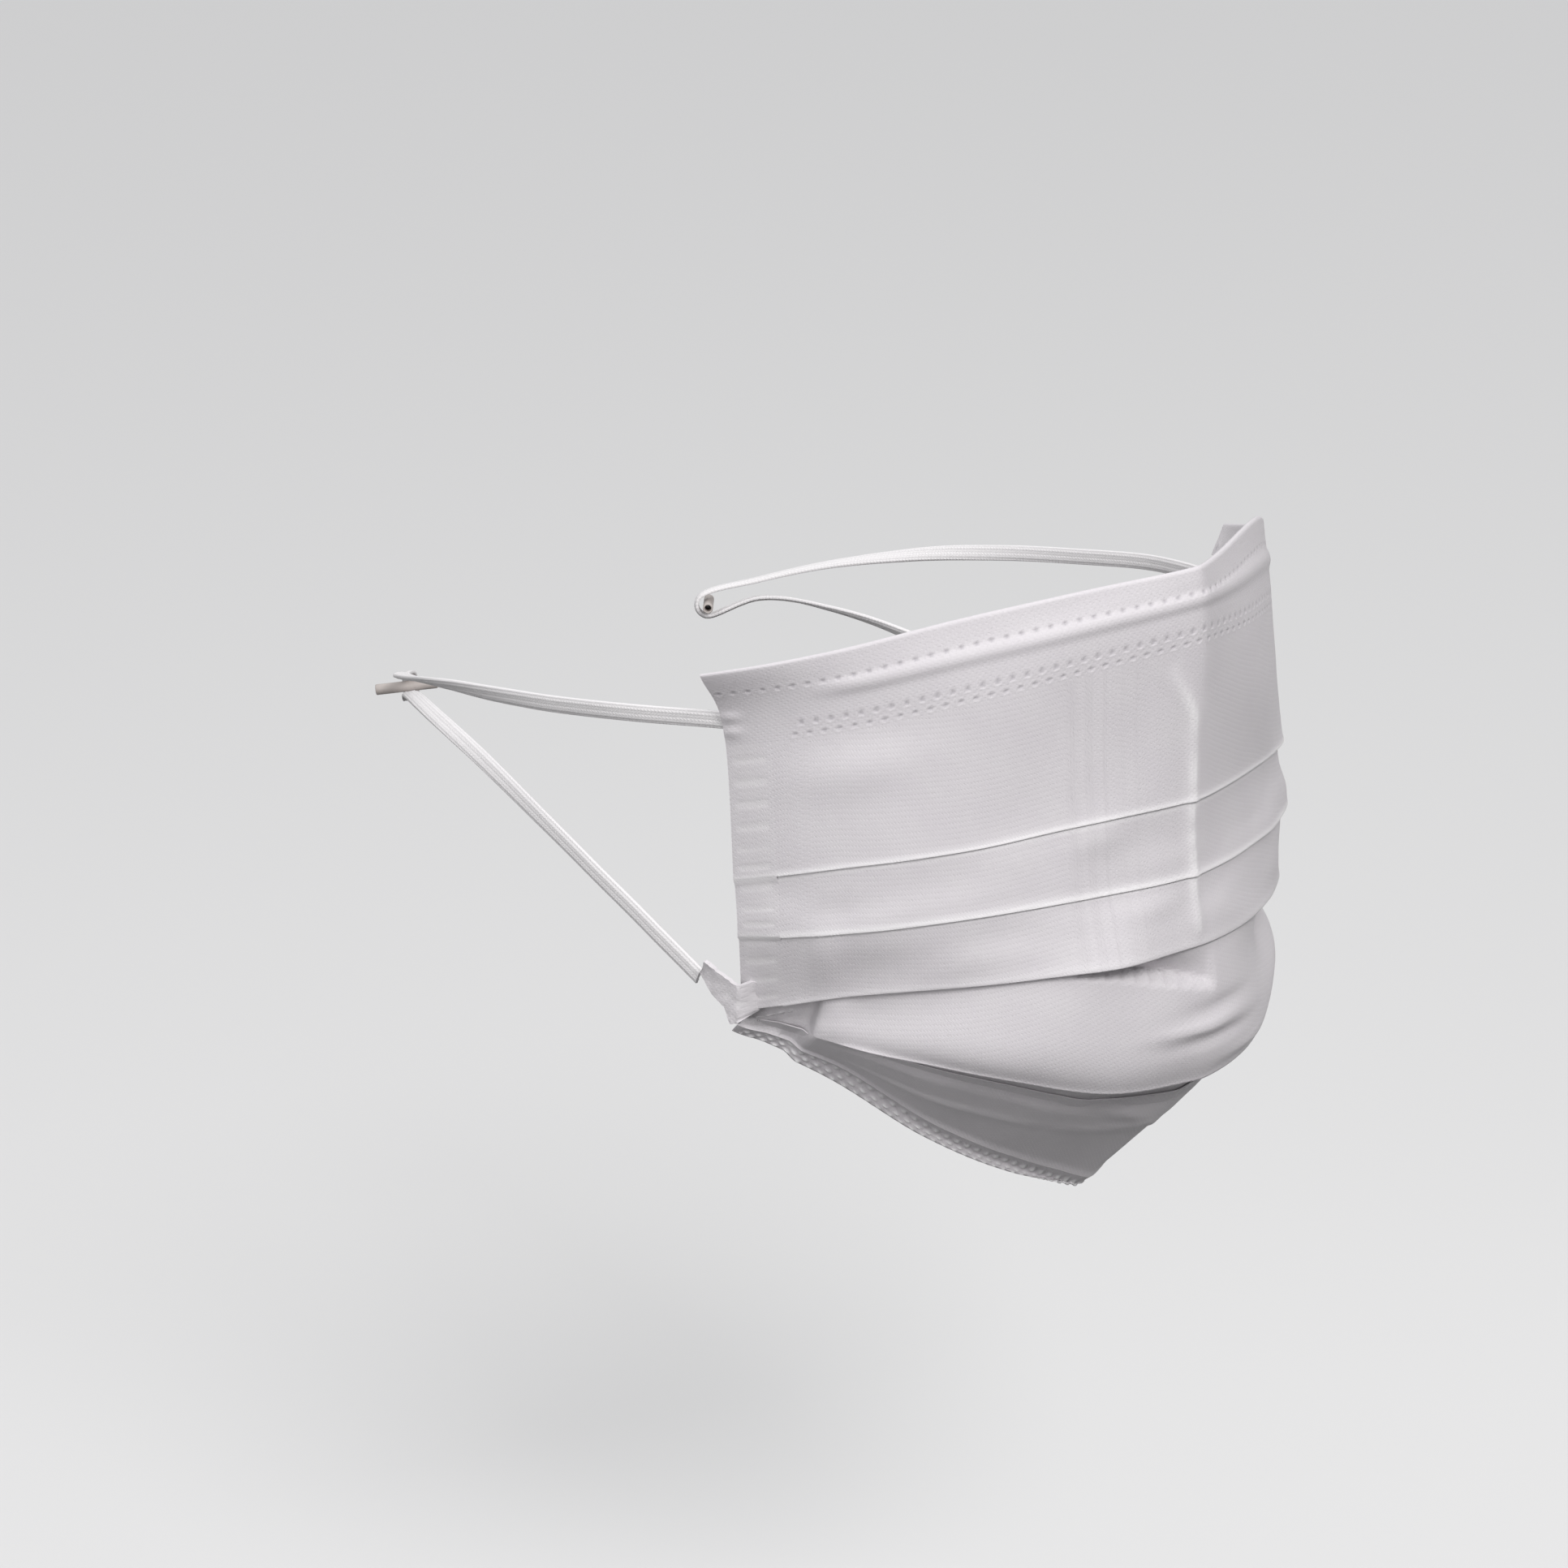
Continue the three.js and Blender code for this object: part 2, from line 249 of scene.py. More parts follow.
def mixColour(tree, share, first, second):
    node = addNode(tree, "ShaderNodeMix", data_type="RGBA")
    tree.links.new(share, node.inputs["Factor"])
    for socket, value in (("A", first), ("B", second)):
        target = next(s for s in node.inputs if s.name == socket and s.type == "RGBA")
        if isinstance(value, bpy.types.NodeSocket):
            tree.links.new(value, target)
        else:
            target.default_value = value
    return next(s for s in node.outputs if s.type == "RGBA")


webFinish = {
    "colour": (0.640, 0.618, 0.634, 1), "shade": (0.600, 0.570, 0.600, 1),
    "roughness": (0.40, 0.58), "bondDepth": 0.00002, "fibreDepth": 0.000018,
}
# The crease colours are a painted highlight: paler lines along the pleat lips and the centre fold,
# where their edges would catch the light.
webFinishes = {
    "nonwoven": {"weld": (0.440, 0.420, 0.445, 1), "crease": (0.820, 0.802, 0.815, 1)},
    "hem web": {"weld": (0.860, 0.850, 0.855, 1), "crease": (0.700, 0.690, 0.695, 1)},
    "welded web": {
        "weld": (0.690, 0.670, 0.684, 1), "crease": (0.700, 0.682, 0.695, 1),
        "colour": (0.652, 0.630, 0.645, 1), "shade": (0.606, 0.578, 0.606, 1),
        "roughness": (0.38, 0.55), "fibreDepth": 0.000012,
    },
}


def webMaterial(name, web):
    finish = {**webFinish, **webFinishes[name]}
    material, shader = newMaterial(name)
    tree = material.node_tree
    flat = addNode(tree, "ShaderNodeUVMap", uv_map="flat")
    weld = addNode(tree, "ShaderNodeAttribute", attribute_name="weld", attribute_type="GEOMETRY")
    cloth = addNode(tree, "ShaderNodeGroup", node_tree=web)
    tree.links.new(flat.outputs["UV"], cloth.inputs["Vector"])
    cloudy = mixColour(tree, cloth.outputs["Clouds"], finish["colour"], finish["shade"])
    # Painted highlight: the crease attribute mixes the paler crease colour in along the pleat lips
    # and the centre fold.
    crease = addNode(tree, "ShaderNodeAttribute", attribute_name="crease",
                     attribute_type="GEOMETRY")
    paintedHighlight = mixColour(tree, crease.outputs["Fac"], cloudy, finish["crease"])
    colour = mixColour(tree, weld.outputs["Fac"], paintedHighlight, finish["weld"])
    tree.links.new(colour, shader.inputs["Base Color"])
    smooth, rough = finish["roughness"]
    satin = addNode(tree, "ShaderNodeMapRange", {
        "Value": cloth.outputs["Bonds"], "To Min": rough, "To Max": smooth,
    })
    tree.links.new(satin.outputs[0], shader.inputs["Roughness"])
    bonds = mathNode(tree, "SUBTRACT", 1.0, cloth.outputs["Bonds"])
    lower = bump(tree, bonds, finish["bondDepth"])
    upper = bump(tree, cloth.outputs["Fibres"], finish["fibreDepth"], lower)
    tree.links.new(upper.outputs[0], shader.inputs["Normal"])
    shader.inputs["Specular IOR Level"].default_value = 0.45
    shader.inputs["Sheen Weight"].default_value = 0.12
    shader.inputs["Sheen Roughness"].default_value = 0.4
    return material


# The groove colour is painted shade in the grooves between the ribs.
elasticFinish = {
    "colour": (0.760, 0.742, 0.750, 1), "groove": (0.660, 0.645, 0.655, 1),
    "ribDepth": 0.00003, "stitchDepth": 0.00002,
}


def elasticMaterial(web):
    material, shader = newMaterial("elastic")
    tree = material.node_tree
    flat = addNode(tree, "ShaderNodeUVMap", uv_map="flat")
    knit = addNode(tree, "ShaderNodeGroup", node_tree=ribbedKnit())
    fuzz = addNode(tree, "ShaderNodeGroup", node_tree=web)
    for group in (knit, fuzz):
        tree.links.new(flat.outputs["UV"], group.inputs["Vector"])
    # Painted shade: the groove colour darkens the grooves between the ribs.
    colour = mixColour(tree, knit.outputs["Ribs"], elasticFinish["groove"], elasticFinish["colour"])
    tree.links.new(colour, shader.inputs["Base Color"])
    ribs = bump(tree, knit.outputs["Ribs"], elasticFinish["ribDepth"])
    stitches = bump(tree, knit.outputs["Stitches"], elasticFinish["stitchDepth"], ribs)
    fibres = bump(tree, fuzz.outputs["Fibres"], 0.00002, stitches)
    tree.links.new(fibres.outputs[0], shader.inputs["Normal"])
    shader.inputs["Roughness"].default_value = 0.72
    shader.inputs["Sheen Weight"].default_value = 0.25
    return material


pinFinish = {
    "colour": (0.395, 0.355, 0.335, 1), "worn": (0.450, 0.410, 0.390, 1),
    "grainScale": 900, "grainDepth": 0.00003,
}


def pinMaterial():
    material, shader = newMaterial("pin plastic")
    tree = material.node_tree
    place = addNode(tree, "ShaderNodeTexCoord")
    grain = addNode(tree, "ShaderNodeTexNoise", {
        "Vector": place.outputs["Object"], "Scale": pinFinish["grainScale"], "Detail": 3.0,
    })
    colour = mixColour(tree, grain.outputs["Fac"], pinFinish["colour"], pinFinish["worn"])
    tree.links.new(colour, shader.inputs["Base Color"])
    rough = addNode(tree, "ShaderNodeMapRange", {
        "Value": grain.outputs["Fac"], "To Min": 0.38, "To Max": 0.6,
    })
    tree.links.new(rough.outputs[0], shader.inputs["Roughness"])
    skin = bump(tree, grain.outputs["Fac"], pinFinish["grainDepth"])
    tree.links.new(skin.outputs[0], shader.inputs["Normal"])
    return material


# ---- the sheet, as the CAD model lays it

# One row for each fold line, from the top edge to the bottom edge. Its level is its place here.
# Seen from above a line starts at the median plane and runs back around the face.
foldColumns = ("forward", "frontAngle", "sideAngle", "bend", "halfWidth", "facingDown",
               "heights")
folds = {
    "topEdge": (1.6, 22, 63, 1.8, 85.5, 0, (6.4, 4.5, 1.4, -3.6, -8.4)),
    "bandEdge": (3, 17, 76, 1.6, 84, 0, (-4, -6.4, -9.8, -14.6, -19.2)),
    "firstPleat": (3, 12, 80, 1.5, 83.7, 0, (-33.4, -34.2, -36.7, -39.8, -45)),
    "secondPleat": (3.5, 9, 81, 1.4, 84, 0, (-46.5, -46.8, -48.2, -51, -55)),
    "thirdPleat": (5, 5, 81, 1.05, 84.5, 0, (-58.5, -58.6, -60.1, -63.1, -69.4)),
    "jawCrease": (4.5, 4, 83, 1.05, 84, 25, (-83.2, -81.4, -76.1, -72.5, -71)),
    "hemLine": (-19.7, 2, 56, 1.2, 67.5, 50, (-108.7, -100.8, -91.2, -79.4, -72.4)),
    "bottomEdge": (-22, 2, 56, 1.2, 67, 50, (-111, -104.8, -95.2, -83, -74.4)),
}
topEdge, bandEdge, firstPleat, secondPleat, thirdPleat, jawCrease, hemLine, bottomEdge = range(8)
foldRows = [dict(zip(foldColumns, values)) for values in folds.values()]
foldSteps = 120
sheetWidth = 84  # mm from the median plane to a side edge, along the sheet
centreRound = 0.016  # how softly the sheet turns over the vertical centre fold, as a share

sheet = {
    "thickness": 0.2,
    "seamInner": 0.9,   # the side seams start here, as a share of the half width
    "pleatDepth": 8,    # how far each pleat is tucked up behind its lip
    "lipOut": 0.3,      # a lip's outer face off the resting face of the sheet
    "layerStep": 0.44,  # from a lip's outer face to that of the flap that comes out under it
    "turnRadius": 0.18,
    "lipBead": 0.12,    # the fold line of a lip stands up by this much
    "beadWidth": 0.9,
    "bandTail": 3.4,    # the outer ply of the nose band goes on this far below the band edge
    "flapPitch": 1.2,   # between the rows of a flap
    "flapStop": 2.8,    # and from the last of them to the lip
}


def catmullRom(points, share):
    count = len(points)
    place = (count - 1) * min(max(share, 0), 1)
    first = min(int(place), count - 2)
    mix = place - first
    start, end = points[first], points[first + 1]
    before = points[first - 1] if first > 0 else 2 * start - end
    after = points[first + 2] if first + 2 < count else 2 * end - start
    leaving, arriving = 0.5 * (end - before), 0.5 * (after - start)
    return (start + leaving * mix + (3 * (end - start) - 2 * leaving - arriving) * mix ** 2
            + (2 * (start - end) + leaving + arriving) * mix ** 3)


def planOf(fold):
    stations, x, y = [], 0.0, -fold["forward"]
    for step in range(foldSteps + 1):
        turned = (fold["sideAngle"] - fold["frontAngle"]) * (step / foldSteps) ** fold["bend"]
        angle = math.radians(fold["frontAngle"] + turned)
        stations.append((x, y, angle))
        x += math.cos(angle) * fold["halfWidth"] / foldSteps
        y += math.sin(angle) * fold["halfWidth"] / foldSteps
    return stations


plans = [planOf(fold) for fold in foldRows]
lineCache = {}


def stationAt(plan, share):
    place = min(share, 1) * foldSteps
    before = min(int(place), foldSteps - 1)
    mix = place - before
    return [a + (b - a) * mix for a, b in zip(plan[before], plan[before + 1])]


def foldLines(across):
    # The place and the outward direction of every fold line at one column of the sheet
    if across not in lineCache:
        share, side = abs(across), math.copysign(1, across)
        soft = math.hypot(share, centreRound) - centreRound * (1 - smoothStep(0, 0.3, share))
        lines = []
        for row, (fold, plan) in enumerate(zip(foldRows, plans)):
            x = stationAt(plan, share)[0]
            _, y, angle = stationAt(plan, soft)
            height = catmullRom(fold["heights"], soft)
            leaning = side * math.sin(angle) * soft / max(share, 1e-6)
            place = Vector((side * x, y, height + farLift(row, across)))
            lines.append((place, Vector((leaning, -math.cos(angle), 0)).normalized()))
        lineCache[across] = lines
    return lineCache[across]


# The top edge rides up past the nose on the far side, and takes the band edge along a little
farSide = {"lift": 3.0, "across": 0.45, "spread": 0.28, "shares": {topEdge: 1, bandEdge: 0.35}}


def farLift(row, across):
    share = farSide["shares"].get(row, 0)
    return share * farSide["lift"] * hump(across, farSide["across"], farSide["spread"])


def sheetFrame(level, across):
    lines = foldLines(across)
    first, last = (0, jawCrease) if level <= jawCrease else (jawCrease, bottomEdge)
    run = [place for place, _ in lines[first:last + 1]]
    place = catmullRom(run, (level - first) / (last - first))
    below = min(max(int(level), 0), bottomEdge - 1)
    mix = level - below
    outward = lines[below][1].lerp(lines[below + 1][1], mix).normalized()
    down = [foldRows[below + step]["facingDown"] for step in (0, 1)]
    turn = math.radians(down[0] + (down[1] - down[0]) * mix) * (1 - across ** 4)
    outward = outward * math.cos(turn)
    outward.z = -math.sin(turn)
    return place, outward


def gapAt(fold, across):
    # Millimetres of sheet between a fold line and the one above it
    lines = foldLines(across)
    return (lines[fold][0] - lines[fold - 1][0]).length


# Soft bulges and creases of the worn sheet: level, across, their spreads, and the rise in mm
bulges = [
    (1.38, -0.74, 0.16, 0.13, 0.9), (2.15, -0.24, 0.20, 0.06, 0.45),
    (3.30, -0.15, 0.28, 0.08, 0.55), (3.35, -0.81, 0.40, 0.035, 0.6),
    (1.55, 0.35, 0.30, 0.20, 0.8), (2.60, 0.62, 0.40, 0.12, 0.5),
    (4.60, -0.02, 0.035, 0.10, 0.9), (4.70, 0.03, 0.035, 0.12, -0.7),
    (4.50, 0.04, 0.05, 0.09, -0.6), (0.86, -0.98, 0.05, 0.022, 0.45),
    (1.02, -0.98, 0.05, 0.022, 0.35), (0.86, 0.98, 0.05, 0.022, 0.45),
    (1.02, 0.98, 0.05, 0.022, 0.35), (4.86, 0.16, 0.05, 0.10, 0.6),
    (1.50, -0.30, 0.30, 0.15, -0.5),
]
underCreases = {"rise": 0.45, "width": 0.035, "runs": [
    ((-0.31, 5.11), (0.03, 5.43)), ((-0.75, 5.67), (-0.27, 5.50)), ((-0.27, 5.50), (0.10, 5.36)),
]}
# Waves all over the sheet: their height in mm, how often they come across and down, and a seed
waves = [(0.9, 2.6, 0.9, 3.7), (0.35, 6.5, 2.2, 11.3)]
# They are calmer on the band, and die out at the sides and at the chin hem
calmer = {"sides": (0.84, 0.98), "onBand": 0.35, "band": (0.6, 1.6), "hem": (6.0, 6.8)}
# The last width here is that of the painted highlight down the centre fold.
centreCrease = {"across": -0.022, "lean": -0.05, "leanOver": (1.55, 1.2), "start": (1.15, 1.4),
                "end": (3.7, 4.0), "rise": 0.55, "width": 0.014, "highlightWidth": 0.011}


def drape(level, across):
    # How far the worn sheet rises from its resting face here, whatever layer it is on
    onBand = calmer["onBand"]
    calm = (1 - smoothStep(*calmer["sides"], abs(across))) * (
        onBand + (1 - onBand) * smoothStep(*calmer["band"], level))
    calm *= 1 - smoothStep(*calmer["hem"], level)
    rise = calm * sum(height * noise.noise(Vector((across * along, level * down, seed)))
                      for height, along, down, seed in waves)
    for bulgeLevel, bulgeAcross, tall, long, height in bulges:
        rise += height * hump(level, bulgeLevel, tall) * hump(across, bulgeAcross, long)
    if level > jawCrease:
        for (a, levelA), (b, levelB) in underCreases["runs"]:
            share = (across - a) / (b - a)
            if 0 <= share <= 1:
                crest = hump(level, levelA + (levelB - levelA) * share, underCreases["width"])
                rise += underCreases["rise"] * crest * math.sin(math.pi * share) ** 0.5
    foldHere, shown = centreFold(level)
    crease = centreCrease
    return rise + crease["rise"] * shown * hump(across, foldHere, crease["width"])


def clothPoint(level, across, off):
    place, outward = sheetFrame(level, across)
    return place + outward * (off + drape(level, across))


def centreFold(level):
    # Where the sheet's vertical centre fold runs, and how far it shows
    crease = centreCrease
    shown = smoothStep(*crease["start"], level) * (1 - smoothStep(*crease["end"], level))
    return crease["across"] + crease["lean"] * smoothStep(*crease["leanOver"], level), shown


# Painted highlight lines: the pleat lips that get a paler colour, and the ribbed pale line down the
# centre fold.
highlightLines = {"folds": {firstPleat: 1.0, secondPleat: 1.0, thirdPleat: 0.3},  # and how pale each is
             "above": 0.2, "below": 0.05, "width": 0.75, "ribs": 300, "ribDepth": 0.3}


def paintedHighlightAt(level, across):
    # Painted highlight: how much paler the colour is here, in lines along the pleat lips and a
    # ribbed line down the centre fold, where their edges would catch the light
    mask = 0.0
    for fold, strength in highlightLines["folds"].items():
        if fold - highlightLines["above"] < level < fold + highlightLines["below"]:
            down = (level - fold) * gapAt(fold, across)
            mask = max(mask, strength * hump(down, 0, highlightLines["width"]))
    foldHere, shown = centreFold(level)
    ribbed = 0.7 + highlightLines["ribDepth"] * math.sin(level * highlightLines["ribs"])
    return max(mask, shown * ribbed * hump(across, foldHere, centreCrease["highlightWidth"]))


def clothPiece(name, columns, rows, weldAt, material, thickness=sheet["thickness"]):
    # A grid whose rows run up the sheet. Each row gives the level and the stand-off at a column,
    # weldAt how deep and how hard the sheet is pressed there
    bm = bmesh.new()
    bm.loops.layers.uv.new("flat")
    bmesh.ops.create_grid(
        bm, x_segments=len(columns) - 1, y_segments=len(rows) - 1, size=1, calc_uvs=True)
    # The crease layer holds the painted highlight, where the colour is made paler along the folds.
    pressed, paintedHighlight = (bm.verts.layers.float.new(layer) for layer in ("weld", "crease"))
    grid = {}
    for vert in bm.verts:
        column = round((vert.co.x + 1) / 2 * (len(columns) - 1))
        row = round((vert.co.y + 1) / 2 * (len(rows) - 1))
        grid[column, row] = vert
    flat = {}
    for column, across in enumerate(columns):
        along, last = 0.0, None
        for row, rowAt in enumerate(rows):
            level, off = rowAt(across)
            depth, mask = weldAt(level, across)
            vert = grid[column, row]
            vert.co = clothPoint(level, across, off - depth) * mm
            vert[pressed], vert[paintedHighlight] = mask, paintedHighlightAt(level, across)
            along += (vert.co - last).length if last else 0
            last = vert.co.copy()
            flat[vert] = (across * sheetWidth * mm, along)
    layFlat(bm, flat)
    return solidSheet(newObject(name, bm, material), thickness)


def layFlat(bm, flat):
    # Smooth faces, a sharp rim, and the place of each point on the uncut sheet as its UV
    uv = bm.loops.layers.uv["flat"]
    for face in bm.faces:
        face.smooth = True
        for loop in face.loops:
            loop[uv].uv = flat[loop.vert]
    for edge in bm.edges:
        edge.smooth = not edge.is_boundary


def solidSheet(piece, thickness):
    wall = piece.modifiers.new("ply", "SOLIDIFY")
    wall.thickness, wall.offset = thickness * mm, -1
    return piece


def noWeld(level, across):
    return 0.0, 0.0


def at(level, off):
    return lambda across: (level, off(across))


# ---- the pleated panel

lipShape = {
    "openAcross": -0.22, "openSpread": 0.10, "openOut": 1.5,  # the third lip lifts by the chin
    "cheekAcross": -0.55, "cheekOver": (0.3, 0.5), "cheekOut": 0.5,  # and a little by the cheek
    "flareOver": (0.35, 0.75), "flareEnd": (0.8, 0.92), "flareOut": 1.1,  # the far halves stand out
}
pouch = {
    "out": 2.6, "width": 0.8, "scale": 2.4,  # the scale brings its curve down to near 1 where full
    "endAcross": 0.835, "endLean": 0.02, "endSoft": 0.020, "endDepth": 3.6,  # it tucks in there
    "cornerFrom": 0.92, "cornerShare": 0.9,
    "puffOut": 0.9, "puffInside": 0.05, "puffWidth": 0.035,  # and puffs up just before
    "hollowOut": 5.5, "hollowAt": 0.38, "hollowTall": 0.34, "hollowOver": (0.08, 0.45),
}
wedgeFold = {"start": -0.31, "end": 0.02, "top": 0.04, "fall": 0.30, "depth": 4.6, "soft": 0.035}


def lipOut(fold, across):
    out = sheet["lipOut"]
    flare = smoothStep(*lipShape["flareOver"], across)
    flare *= 1 - smoothStep(*lipShape["flareEnd"], across)
    out += lipShape["flareOut"] * flare
    if fold == thirdPleat:
        out += lipShape["openOut"] * hump(
            across, lipShape["openAcross"], lipShape["openSpread"])
        away = abs(across - lipShape["cheekAcross"])
        out += lipShape["cheekOut"] * (1 - smoothStep(*lipShape["cheekOver"], away))
    return out


def startOut(fold):
    # The outer face of a flap at its top, where all but the first come out under another lip
    return 0 if fold == firstPleat else sheet["lipOut"] - sheet["layerStep"]


def flapOut(fold, share, across):
    # The outer face of the flap above a lip, from its top at 0 to the lip at 1
    start = startOut(fold)
    bead = sheet["lipBead"] * hump((1 - share) * gapAt(fold, across), 0, sheet["beadWidth"])
    return start + (lipOut(fold, across) - start) * share ** 2 + bead


def hiddenOut(fold, share):
    # The layer that hangs behind a flap, and comes out under its lip as the next one
    start = startOut(fold)
    return start + (sheet["lipOut"] - start) * share ** 2 - sheet["layerStep"]


def nearLip(fold, above, offAt):
    # A row a few millimetres above a lip, or below it where above is negative
    def rowAt(across):
        gap = gapAt(fold, across)
        return fold - above / gap, offAt(1 - above / gap, across)
    return rowAt


def lipRows(fold):
    # From just above the lip on the flap, round the lip, up behind it and back down
    radius, depth = sheet["turnRadius"], sheet["pleatDepth"]
    rows = [nearLip(fold, above, lambda share, across: flapOut(fold, share, across))
            for above in (2.2, 1.4, 0.8, 0.4)]
    for sine, cosine in arc(90, 60, 30, 0, -30, -60, -90):
        rows.append(nearLip(fold, -radius * cosine, lambda share, across, sine=sine:
                            flapOut(fold, 1, across) - radius + radius * sine))

    def behind(share, across, above):
        blend = smoothStep(0, depth, above)
        close = flapOut(fold, share, across) - 2 * radius
        return close + (hiddenOut(fold, share) + 0.1 - close) * blend
    for above in (0.5, 2, 4, 6, depth - 0.4):
        rows.append(nearLip(fold, above, lambda share, across, above=above:
                            behind(share, across, above)))
    rows.append(nearLip(fold, depth, lambda share, across: hiddenOut(fold, share) + 0.05))
    for above in (depth - 0.4, 6, 4, 2, 1, 0.4, 0):
        rows.append(nearLip(fold, above, lambda share, across: hiddenOut(fold, share)))
    return rows


def flapRows(top, fold):
    # The open face of a flap, down to a little above its lip
    count = max(3, round(gapAt(fold, 0) / sheet["flapPitch"]))
    rows = []
    for step in range(1, count):
        def rowAt(across, step=step):
            gap = gapAt(fold, across)
            share = step / count * (1 - sheet["flapStop"] / gap) / (1 - 1 / count)
            return top + share, flapOut(fold, share, across)
        rows.append(rowAt)
    return rows


def swellAt(most, across):
    # Fullest at the median plane, and gone at the pouch's width
    return most * (1 - min(abs(across) / pouch["width"], 1) ** 4)


def endTuck(across, endHere):
    # The pouch is tucked in past its ends, up to the corner where all the layers meet again
    corner = 1 - pouch["cornerShare"] * smoothStep(pouch["cornerFrom"], 1, abs(across))
    low, high = endHere - pouch["endSoft"], endHere + pouch["endSoft"]
    return pouch["endDepth"] * smoothStep(low, high, abs(across)) * corner


def pouchOut(share, across):
    # The opened pleat over the chin, from the third lip at 0 to the jaw at 1
    low = pouch["scale"] * share ** 1.5 * (1 - share ** 3)  # fullest below the middle
    out = swellAt(pouch["out"], across) * low + hiddenOut(thirdPleat, 1) * (1 - share)
    endHere = pouch["endAcross"] + pouch["endLean"] * share
    puff = pouch["puffOut"] * math.sin(math.pi * min(share, 1)) ** 0.6
    out += puff * hump(abs(across), endHere - pouch["puffInside"], pouch["puffWidth"])
    out -= endTuck(across, endHere)
    hollow = pouch["hollowOut"] * hump(share, pouch["hollowAt"], pouch["hollowTall"])
    out -= hollow * smoothStep(*pouch["hollowOver"], across)
    return out - wedge(share, across) + jawCrest(1 - share, jawShape["above"], across)


def wedge(share, across):
    # The fold that starts under the third lip and runs down towards the chin
    start, end = wedgeFold["start"], wedgeFold["end"]
    along = (across - start) / (end - start)
    if not 0 < along < 1:
        return 0
    line = wedgeFold["top"] + wedgeFold["fall"] * along
    depth = wedgeFold["depth"] * math.sin(math.pi * along) ** 0.6
    if share < line:
        return depth * (share / line) ** 1.5
    return depth * (1 - smoothStep(line, line + wedgeFold["soft"], share))


jawShape = {
    "crest": 0.7, "above": 0.04, "below": 0.025, "crestEnd": (0.7, 0.85),
    "undercut": 1.3, "undercutTall": 0.3, "undercutEnd": (0.6, 0.85),
    "underSwell": 0.2, "tuckLoss": 0.6, "ridgeWidth": 0.04,
}


def jawCrest(away, width, across):
    ends = 1 - smoothStep(*jawShape["crestEnd"], abs(across))
    return jawShape["crest"] * math.exp(-away / width) * ends


def panelRows():
    rows, steps = [], 20
    for step in range(steps + 1):
        def rowAt(across, step=step):
            gap = gapAt(firstPleat, across)
            start = sheet["bandTail"] / gap
            share = start + (1 - sheet["flapStop"] / gap - start) * step / steps
            return bandEdge + share, flapOut(firstPleat, share, across)
        rows.append(rowAt)
    rows += lipRows(firstPleat)
    rows += flapRows(firstPleat, secondPleat) + lipRows(secondPleat)
    rows += flapRows(secondPleat, thirdPleat) + lipRows(thirdPleat)
    for share in spread(0, 0.94, 31)[1:] + [0.96, 0.975, 0.988, 1]:
        rows.append(at(thirdPleat + share, lambda across, share=share: pouchOut(share, across)))
    for share in [0.006, 0.014, 0.025] + spread(0.04, 1, 30):
        rows.append(at(jawCrease + share, lambda across, share=share: underOut(share, across)))
    return rows[::-1]


def underOut(share, across):
    # The face under the jaw, from the jaw crease at 0 to the hem line at 1
    shape = jawShape
    swell = swellAt(shape["underSwell"], across)
    tuck = endTuck(across, pouch["endAcross"] + pouch["endLean"])
    undercut = shape["undercut"] * math.sin(math.pi * min(share / shape["undercutTall"], 1)) * (
        1 - smoothStep(*shape["undercutEnd"], abs(across)))
    ridge = chinHem["ridge"] * hump(share, 1, shape["ridgeWidth"])
    return (swell * 4 * share * (1 - share) - tuck * (1 - shape["tuckLoss"] * share) - undercut
            + ridge + jawCrest(share, shape["below"], across))


# ---- nose band

dotRun, dotCount = 85.2, 34  # so many dots in so many millimetres of a row
dotPitch = dotRun / sheetWidth / dotCount  # from dot to dot, as a share of the half width
dotColumns = 8

noseBand = {
    "stripFrom": 0.60, "stripTo": 0.64, "stripSoft": 0.16, "stripRise": 0.5,
    "stripEnd": (0.70, 0.84),
    "foldedIn": 7,      # mm of the ply folded in behind the top edge
    "edgeRadius": 0.5,
    "overEdge": 0.85, "underTop": 6.2,  # mm off its two edges, where the rows lie closer
    "dots": [  # mm below a fold line, which one, shift along in pitches, and where the row ends
        {"fold": topEdge, "below": 5.4, "shift": 0, "end": 0.985},
        {"fold": bandEdge, "below": 0.0, "shift": 0, "end": 0.865},
        {"fold": bandEdge, "below": 2.2, "shift": 0.5, "end": 0.865},
    ],
    "dotSize": (0.42, 0.32), "dotDepth": 0.22, "puff": 0.03,
}


def dotPress(along, down, size, depth, puff):
    # One weld dot and the soft rim round it, from the distances to its middle in mm
    away = math.hypot(along / size[0], down / size[1])
    return depth * math.exp(-away ** 4) - puff * math.exp(-((away - 1.9) / 0.8) ** 2), math.exp(
        -(away * 1.05) ** 4)


def nearestDot(across, shift):
    place = across / dotPitch - shift
    return (place - round(place)) * dotPitch * sheetWidth


def bandWeld(level, across):
    depth = mask = 0.0
    for row in noseBand["dots"]:
        centre = round(across / dotPitch - row["shift"]) + row["shift"]
        if abs(centre * dotPitch) > row["end"]:
            continue
        if row["fold"] == topEdge:
            down = level * gapAt(bandEdge, across) - row["below"]
        else:
            gap = gapAt(firstPleat, across) if level > bandEdge else gapAt(bandEdge, across)
            down = (level - bandEdge) * gap - row["below"]
        press, share = dotPress(nearestDot(across, row["shift"]), down, noseBand["dotSize"],
                                noseBand["dotDepth"], noseBand["puff"])
        depth += press
        mask = max(mask, share)
    return depth, mask


def stripOut(level, across):
    shape = noseBand
    rise = smoothStep(shape["stripFrom"] - shape["stripSoft"], shape["stripFrom"], level)
    rise *= 1 - smoothStep(shape["stripTo"], shape["stripTo"] + shape["stripSoft"], level)
    return shape["stripRise"] * rise * (1 - smoothStep(*shape["stripEnd"], abs(across)))


